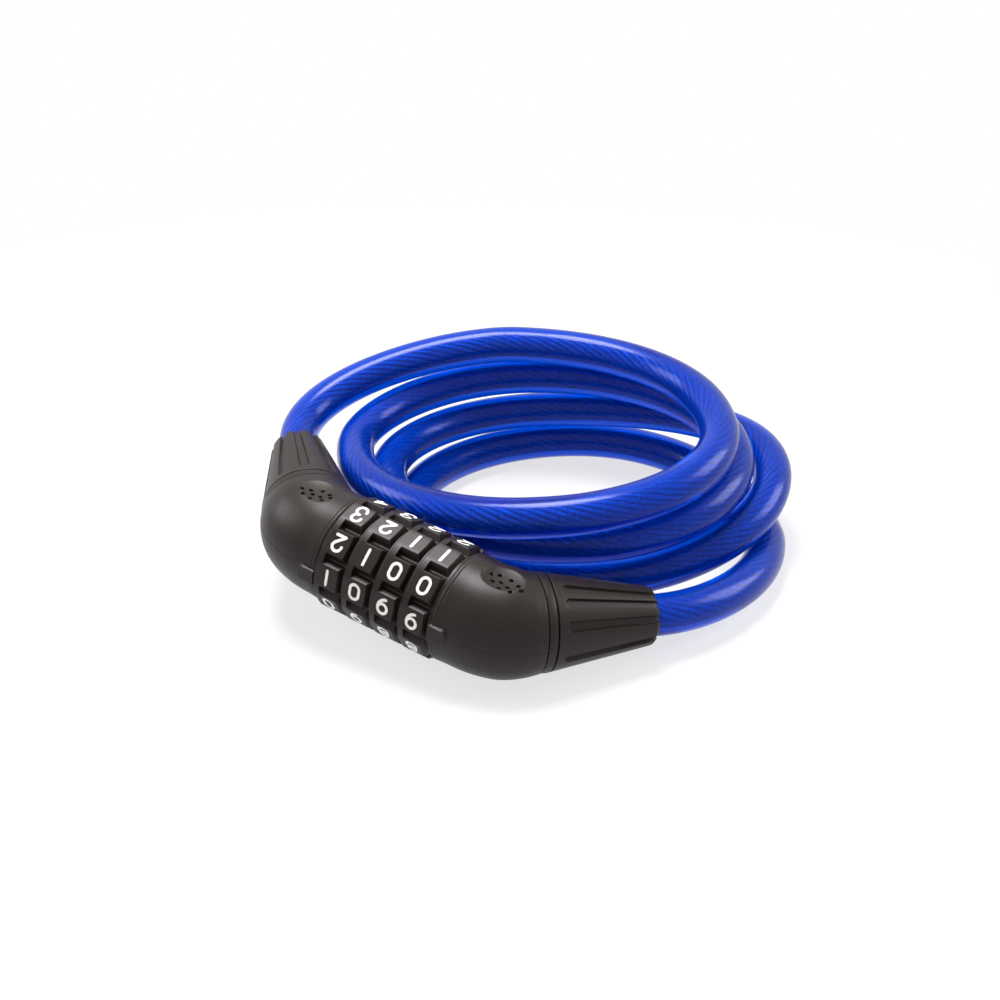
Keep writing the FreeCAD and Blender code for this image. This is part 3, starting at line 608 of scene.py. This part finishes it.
# A cone, less a quarter circle at its root, the mouth's bevel and the flutes. A flute deepens with how far
# inside its half width a point lies; before its start that is measured round one point, so it starts round
def sleevePiece(side):
    length = head["sleeveLength"]
    flutes = np.asarray(sleeve["flutes"][side], dtype=float)
    edges = [middle + turn + way * sleeve["fluteEdge"]
             for middle in flutes for way in (-1, 1) for turn in (-360, 0, 360)]
    angle = gathered(-180.0, 180.0, edges, **sleeve["columns"])[:-1]
    place = gathered(0.0, length, [*sleeve["rowsNear"], length - sleeve["lipBevel"]], **sleeve["rows"])
    place, up = np.meshgrid(place, np.radians(angle), indexing="ij")
    cone = sleeve["rootRadius"] + (sleeve["mouthRadius"] - sleeve["rootRadius"]) * place / length
    rounding = sleeve["rootRounding"]
    short = np.clip(rounding - place, 0.0, rounding)
    radius = cone - (rounding - np.sqrt(rounding ** 2 - short ** 2))
    bevel = cone[-1, 0] - sleeve["bevel"] + (length - place)
    radius = softMin(radius, bevel, sleeve["bevelRounding"])
    rootHalf, mouthHalf = sleeve["fluteHalf"]
    halfWidth = rootHalf + (mouthHalf - rootHalf) * place / length
    ahead = np.minimum(place - sleeve["fluteStart"], 0.0)
    for middle in flutes:
        lean = up - math.radians(middle)
        across = cone * np.sin(lean)
        within = (halfWidth - np.hypot(across, ahead)) / sleeve["fluteWall"]
        radius = radius - sleeve["fluteDepth"] * smoothStep(within) * (np.cos(lean) > 0.0)
    outer = endRing(sleeveStart + place, radius, up)
    around = up[0]
    pocketStart = -head["collarWidth"] - sleeve["spigotLength"]
    boreStart = length - sleeve["insert"]
    root = [(pocketStart, sleeve["pocket"]), (pocketStart, sleeve["spigotRadius"]),
            (0.0, sleeve["spigotRadius"]), (0.0, sleeve["faceRadius"])]
    mouth = [(length, sleeve["lip"]), (length - sleeve["lipBevel"], sleeve["bore"]),
             (boreStart, sleeve["bore"]), (boreStart, sleeve["pocket"])]
    start, end = (np.stack([endRing(sleeveStart + at, wide, around) for at, wide in section])
                  for section in (root, mouth))
    grid = np.concatenate([start, outer, end])
    piece = ringGrid(f"{sideNames[side]}Sleeve", onSide(grid, side), sharpAngle=sharpEdge, material=shellAbs)
    standFor(piece, f"{sideNames[side]}_sleeve")


for side in sideNames:
    shellPiece(side)
    collarPiece(side)
    sleevePiece(side)
print("shells, collars and sleeves done")


# Cable. The route has the coil's own directions: X right, Y away, as the photograph sees it

coil = {
    "turn": 31.5,  # degrees from the frame's directions to the coil's own
    # Each turn's points, from the top turn down: right and away from the head's middle, and above the floor
    "back": [(33.8, 106.6, 45.0), (36.6, 109.4, 32.1), (43.6, 109.8, 18.9), (55.1, 111.5, 6.1)],
    "right": [(94.1, 52.1, 41.4), (100.6, 57.8, 29.8), (113.7, 62.1, 22.8), (110.5, 46.7, 6.05)],
    "front": [(45.5, 9.6, 34.6), (54.6, 14.7, 22.9), (59.9, 17.3, 8.8)],
    "left": [(-19.4, 67.8, 26.7), (-9.0, 65.3, 18.6), (-2.8, 62.1, 6.5)],
    "floorClearance": 0.06,
    "arcOverChord": 1.11,
    # The two bends between the coil and the sleeves: each end's handle, as a share of the straight distance
    "tailHandles": (0.44, 0.31), "endHandles": (0.35, 0.31),
    "pointsPerQuarter": 6, "pointsPerBend": 9,
    "insertShares": (0.0, 0.33, 0.66, 1.0),  # control points inside a sleeve, as shares of the way in
    "splineLoss": 0.125,  # share of the bend at a control point by which the spline passes inside it
}
# Which way the cable goes at a turn's four points, along the coil's X and Y
quarters = {"back": (1, 0), "right": (0, -1), "front": (-1, 0), "left": (0, 1)}
coilTurn = math.radians(coil["turn"])
coilX = np.array([math.cos(coilTurn), math.sin(coilTurn), 0.0])
coilY = np.array([-math.sin(coilTurn), math.cos(coilTurn), 0.0])

# In millimetres. Insert is the jacket that each sleeve hides, and past it the bare rope runs on
cable = {"diameter": 12.0, "ropeDiameter": 6.0, "insert": 14.0, "ropeRunsOn": 12.0, "tailLength": 202.8,
         "coilLength": 1100.3, "splineSteps": 12, "ring": 1.6, "columns": 48, "sharpEdge": 50.0}


# Place and heading of the cable where it leaves a sleeve, in metres
def mouthOf(side):
    along, aside, turn = (float(value) for value in centreLine(mouthDistance))
    return (onSide(np.array([along, aside, 0.0]), side),
            side * math.cos(turn) * headX + math.sin(turn) * headY)


# The route at each quarter of a turn: places in metres and headings. A heading is level along the coil's own
# directions, and rises by its neighbours' difference in height over the way between them
def coilNodes():
    spots = [(*coil[name][turn], *way) for turn in range(len(coil["back"]))
             for name, way in quarters.items() if turn < len(coil[name])]
    nodes = []
    for place, (x, y, height, goX, goY) in enumerate(spots):
        before, after = spots[max(place - 1, 0)], spots[min(place + 1, len(spots) - 1)]
        run = math.hypot(after[0] - before[0], after[1] - before[1]) * coil["arcOverChord"]
        heading = goX * coilX + goY * coilY + (after[2] - before[2]) / run * upward
        point = headMiddle * [1, 1, 0] + mm * (x * coilX + y * coilY)
        point[2] = mm * (height + coil["floorClearance"])
        nodes.append((point, heading / np.linalg.norm(heading)))
    return nodes


# Points of a cubic curve between two ends, with a handle for each, and without its last point
def bezier(start, first, second, end, steps):
    t = np.linspace(0.0, 1.0, steps + 1)[:-1, None]
    return (1 - t) ** 3 * start + 3 * t * (1 - t) ** 2 * first + 3 * t ** 2 * (1 - t) * second + t ** 3 * end


# A quarter of an oval between two headings. Its handles are a quarter circle's share of the way along each:
# the square root of two, less one, times four thirds
def quarterTurn(start, startWay, end, endWay, steps):
    share = 4.0 / 3.0 * (math.sqrt(2.0) - 1.0)
    gap = end - start
    first = start + startWay * share * np.dot(gap, startWay)
    second = end - endWay * share * np.dot(gap, endWay)
    return bezier(start, first, second, end, steps)


# A looser bend between two headings: its handles are shares of the straight distance
def freeBend(start, startWay, end, endWay, handles, steps):
    span = np.linalg.norm(end - start)
    return bezier(start, start + startWay * span * handles[0], end - endWay * span * handles[1], end, steps)


# Control points from inside the plug's sleeve, round the coil, into the barrel's sleeve; and the coil's
# second point, where the tail ends
def cableRoute():
    nodes = coilNodes()
    outPlace, outWay = mouthOf(-1)
    inPlace, inWay = mouthOf(1)
    inWay = -inWay
    insert = (cable["insert"] + cable["ropeRunsOn"]) * mm
    shares = coil["insertShares"]
    parts = [np.stack([outPlace - outWay * insert * share for share in shares[:0:-1]]),
             freeBend(outPlace, outWay, *nodes[0], coil["tailHandles"], coil["pointsPerBend"])]
    for (start, startWay), (end, endWay) in zip(nodes, nodes[1:]):
        parts.append(quarterTurn(start, startWay, end, endWay, coil["pointsPerQuarter"]))
    parts.append(freeBend(*nodes[-1], inPlace, inWay, coil["endHandles"], coil["pointsPerBend"]))
    parts.append(np.stack([inPlace + inWay * insert * share for share in shares]))
    points = np.concatenate(parts)
    # The spline cuts inside its points by a share of the bend there, so each stands out by what it loses
    points[1:-1] -= coil["splineLoss"] * (points[:-2] - 2 * points[1:-1] + points[2:])
    return points, nodes[1][0]


# Points read from a smooth open spline along the route
def splinePoints(controls, name):
    curve = bpy.data.curves.new(name, "CURVE")
    curve.dimensions = "3D"
    curve.resolution_u = cable["splineSteps"]
    spline = curve.splines.new("NURBS")
    spline.points.add(len(controls) - 1)
    spline.points.foreach_set("co", np.column_stack([controls, np.ones(len(controls))]).ravel())
    spline.order_u = 3
    spline.use_endpoint_u = True
    holder = bpy.data.objects.new(name, curve)
    bpy.context.scene.collection.objects.link(holder)
    bpy.context.view_layer.update()
    mesh = bpy.data.meshes.new_from_object(holder)
    points = np.empty(len(mesh.vertices) * 3)
    mesh.vertices.foreach_get("co", points)
    points = points.reshape(-1, 3)
    bpy.data.objects.remove(holder)
    bpy.data.curves.remove(curve)
    bpy.data.meshes.remove(mesh)
    return points


# The same line with points a steady distance apart, and how far along each lies
def evenly(points, spacing):
    travelled = np.concatenate([[0.0], np.cumsum(np.linalg.norm(np.diff(points, axis=0), axis=1))])
    count = int(round(travelled[-1] / spacing)) + 1
    at = np.linspace(0.0, travelled[-1], count)
    return np.column_stack([np.interp(at, travelled, points[:, axis]) for axis in range(3)]), at


# Rings round a line that is never upright. Sideways is level and square to the line, and up is square to
# both. A point lies out by the radius, times the angle's cosine sideways and its sine up
def tubeGrid(line, radii, angles):
    ahead = np.gradient(line, axis=0)
    ahead /= np.linalg.norm(ahead, axis=1)[:, None]
    side = np.cross(ahead, upward)
    side /= np.linalg.norm(side, axis=1)[:, None]
    up = np.cross(side, ahead)
    return (line[:, None] + radii[..., None] * (np.cos(angles)[..., None] * side[:, None]
                                                + np.sin(angles)[..., None] * up[:, None]))


# The jacket's outside as a closed tube; one end's cap is clear, where it meets its other half
def jacketPiece(name, grid, clearEnd):
    sides = (len(grid) - 1) * cable["columns"]
    materialIndex = np.zeros(sides + 2 * cable["columns"], dtype=np.int32)
    first = sides + (cable["columns"] if clearEnd else 0)
    materialIndex[first:first + cable["columns"]] = 1
    piece = cappedGrid(name, grid, sharpAngle=cable["sharpEdge"], material=jacketPvc,
                       materialIndex=materialIndex)
    piece.data.materials.append(seamClear)
    return piece


rope = {"wires": 10, "pointsPerWire": 8, "pitch": 42.0, "wireDepth": 0.5, "groovePower": 1.6,
        "sharpEdge": 60.0}


# A round rope whose outside is a ring of wires. The radius drops between wires by a power of one less the
# sine of the angle across a wire, and the angles turn back by one turn for each pitch, which lays the wires
# in a helix
def ropeGrid(line, at):
    columns = rope["wires"] * rope["pointsPerWire"]
    around = np.linspace(0.0, 2 * math.pi, columns, endpoint=False)
    lobe = np.abs(np.sin(around * rope["wires"] / 2))
    radius = cable["ropeDiameter"] / 2 - rope["wireDepth"] * (1.0 - lobe) ** rope["groovePower"]
    angles = around[None, :] - 2 * math.pi * at[:, None] / (rope["pitch"] * mm)
    return tubeGrid(line, np.broadcast_to(radius * mm, angles.shape), angles)


routePoints, seamPoint = cableRoute()
fullLine, fullAt = evenly(splinePoints(routePoints, "cableRoute"), cable["ring"] * mm)
seam = int(np.argmin(np.linalg.norm(fullLine - seamPoint, axis=1)))
jacketStart = int(round(cable["ropeRunsOn"] / cable["ring"]))
jacketEnd = len(fullLine) - 1 - jacketStart
around = np.broadcast_to(np.linspace(0.0, 2 * math.pi, cable["columns"], endpoint=False),
                         (len(fullLine), cable["columns"]))
jacketRings = tubeGrid(fullLine, np.full(around.shape, cable["diameter"] / 2 * mm), around)
ropeRings = ropeGrid(fullLine, fullAt)
tailJacket = jacketPiece("tailJacket", jacketRings[jacketStart:seam + 1], True)
coilJacket = jacketPiece("coilJacket", jacketRings[seam:jacketEnd + 1], False)
tailRope = cappedGrid("tailRope", ropeRings[:seam + 1], material=ropeSteel, sharpAngle=rope["sharpEdge"])
coilRope = cappedGrid("coilRope", ropeRings[seam:], material=ropeSteel, sharpAngle=rope["sharpEdge"])

# The tail bends between its sleeve, which moves with the plug, and the coil, which stays
blendStart, blendEnd = (-0.064, 0.0, 0.0), (0.046, 0.0, 0.0)
for piece, node, slotName in ((tailJacket, "tail_jacket", "blue_jacket"),
                              (tailRope, "tail_rope", "wire_rope")):
    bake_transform(piece, "plug", "lock_body", start=blendStart, end=blendEnd)
    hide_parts(node)
standFor(coilJacket, "coil_jacket")
standFor(coilRope, "coil_rope")
print("cable done")


# Carried-over nodes keep their shape and take a material

looks = {"barrel": castZinc, "end_ring": platedSteel, "bolt": platedSteel, "barrel_end_pin": platedSteel,
         "plug_end_pin": platedSteel, "barrel_end_ferrule": crimpedAluminium,
         "plug_end_ferrule": crimpedAluminium}
for sideName in sideNames.values():
    looks |= {f"{sideName}_shell": shellAbs, f"{sideName}_collar": shellAbs, f"{sideName}_sleeve": shellAbs}
for number in range(1, dial["count"] + 1):
    looks |= {f"dial_{number}": dialAbs, f"digits_{number}": whiteInk, f"tumbler_{number}": castZinc,
              f"detent_ball_{number}": platedSteel, f"detent_spring_{number}": platedSteel}
for node, material in looks.items():
    mesh = frame["nodes"][node].data
    mesh.materials.clear()
    mesh.materials.append(material)
print("nodes dressed")


# Stage, light and camera. The photograph looks along the coil's own Y, from above

# Degrees and millimetres, but focal is in the picture's pixels and clip in metres. The camera aims at a point
# that lies right, away and up from the head's middle
camera = {"elevation": 30.0, "distance": 405.0, "aimFromHead": (27.06, 34.19, 5.53), "focal": 1345.0,
          "picture": 1000.0, "sensor": 36.0, "clip": (0.01, 20.0)}
# In metres; the floor is plain white past farRadius, and by the share liftNear within nearRadius
stage = {"reach": 3.0, "floor": "#f0f0f2", "floorRoughness": 0.9, "worldLight": 0.22, "liftNear": 0.72,
         "nearRadius": 0.12, "farRadius": 0.4}
# Soft boxes, in metres and watts; a place is right, away and up from the aim point
lamps = {"softBoxAbove": {"place": (-0.1, 0.2, 0.8), "side": 0.34, "power": 11.0},
         "softBoxRight": {"place": (0.75, 0.15, 0.4), "side": 0.4, "power": 4.0},
         "softBoxLeft": {"place": (-0.8, 0.2, 0.45), "side": 0.4, "power": 3.5}}


# One where a ray comes from the camera, a reflection or clear plastic, and nought elsewhere
def whiteSeen(tree):
    path = addNode(tree, "ShaderNodeLightPath")
    seen = path.outputs["Is Camera Ray"]
    for ray in ("Is Glossy Ray", "Is Transmission Ray"):
        larger = addNode(tree, "ShaderNodeMath", {0: seen, 1: path.outputs[ray]}, operation="MAXIMUM")
        seen = larger.outputs[0]
    return seen


# A white sweep, matt: lit and shaded near the lock, and plain white further out
def paleFloor():
    material, tree, shader = newMaterial("paleFloor", Roughness=stage["floorRoughness"],
                                         Specular_IOR_Level=0.0)
    shader.inputs["Base Color"].default_value = hexColour(stage["floor"])
    place = addNode(tree, "ShaderNodeTexCoord").outputs["Object"]
    away = addNode(tree, "ShaderNodeVectorMath", {0: place}, operation="LENGTH")
    lift = addNode(tree, "ShaderNodeMapRange", {"Value": away.outputs["Value"]},
                   {"From Min": stage["nearRadius"], "From Max": stage["farRadius"],
                    "To Min": stage["liftNear"]})
    share = addNode(tree, "ShaderNodeMath", {0: lift.outputs["Result"], 1: whiteSeen(tree)},
                    operation="MULTIPLY")
    white = addNode(tree, "ShaderNodeEmission")
    both = addNode(tree, "ShaderNodeMixShader", {0: share.outputs[0], 1: shader.outputs["BSDF"],
                                                 2: white.outputs["Emission"]})
    tree.links.new(both.outputs["Shader"], tree.nodes["Material Output"].inputs["Surface"])
    return material


def placeCamera(aim):
    tilt = math.radians(camera["elevation"])
    look = coilY * math.cos(tilt) - math.sin(tilt) * upward
    data = bpy.data.cameras.new("photoCamera")
    data.sensor_fit = "HORIZONTAL"
    data.sensor_width = camera["sensor"]
    data.lens = camera["focal"] / camera["picture"] * camera["sensor"]
    data.clip_start, data.clip_end = camera["clip"]
    holder = bpy.data.objects.new("photoCamera", data)
    holder.location = aim - look * camera["distance"] * mm
    holder.rotation_euler = (math.pi / 2 - tilt, 0.0, coilTurn)
    bpy.context.scene.collection.objects.link(holder)
    bpy.context.scene.camera = holder


def layFloor():
    reach = stage["reach"]
    mesh = bpy.data.meshes.new("floor")
    mesh.from_pydata([(-reach, -reach, 0), (reach, -reach, 0), (reach, reach, 0), (-reach, reach, 0)],
                     [], [(0, 1, 2, 3)])
    mesh.materials.append(paleFloor())
    floor = bpy.data.objects.new("floor", mesh)
    bpy.context.scene.collection.objects.link(floor)


# A world that is white to look at, and lights the lock more weakly
def lightWorld():
    world = bpy.data.worlds.new("whiteStudio")
    world.use_nodes = True
    bpy.context.scene.world = world
    tree = world.node_tree
    strength = addNode(tree, "ShaderNodeMapRange", {"Value": whiteSeen(tree)},
                       {"To Min": stage["worldLight"], "To Max": 1.0})
    background = tree.nodes["Background"]
    background.inputs["Color"].default_value = (1.0, 1.0, 1.0, 1.0)
    tree.links.new(strength.outputs["Result"], background.inputs["Strength"])


def placeLamps(aim):
    for name, lamp in lamps.items():
        light = bpy.data.lights.new(name, "AREA")
        light.shape = "SQUARE"
        light.size = lamp["side"]
        light.energy = lamp["power"]
        right, away, up = lamp["place"]
        place = aim + right * coilX + away * coilY + up * upward
        holder = bpy.data.objects.new(name, light)
        holder.location = place
        holder.rotation_euler = Vector(aim - place).to_track_quat("-Z", "Y").to_euler()
        bpy.context.scene.collection.objects.link(holder)


aimRight, aimAway, aimUp = camera["aimFromHead"]
aimPoint = headMiddle + mm * (aimRight * coilX + aimAway * coilY + aimUp * upward)
placeCamera(aimPoint)
layFloor()
lightWorld()
placeLamps(aimPoint)
bpy.context.scene.view_settings.view_transform = "Standard"
print("stage, light and camera done")
